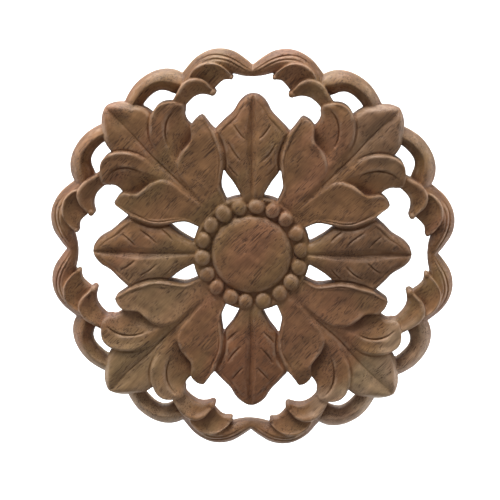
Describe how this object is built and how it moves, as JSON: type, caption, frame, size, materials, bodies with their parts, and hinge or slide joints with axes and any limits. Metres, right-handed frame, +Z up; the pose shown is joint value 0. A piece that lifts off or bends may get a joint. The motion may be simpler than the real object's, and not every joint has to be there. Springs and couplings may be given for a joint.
{
  "type": "carved wood applique",
  "caption": "Round pierced applique carved in wood, with leaves round a beaded hub and a scrolled rim, flat at the back for fixing to a door, drawer or panel.",
  "frame": {"origin": "centre of the flat back, behind the hub", "axes": "+Z up the face, +X to the viewer's right, +Y out of the back; the carving faces -Y"},
  "size_m": [0.15, 0.0103, 0.15],
  "materials": {
    "wood": "bare sanded wood, matt"
  },
  "bodies": {
    "root": {"carved_rosette": "wood"}
  },
  "joints": []
}
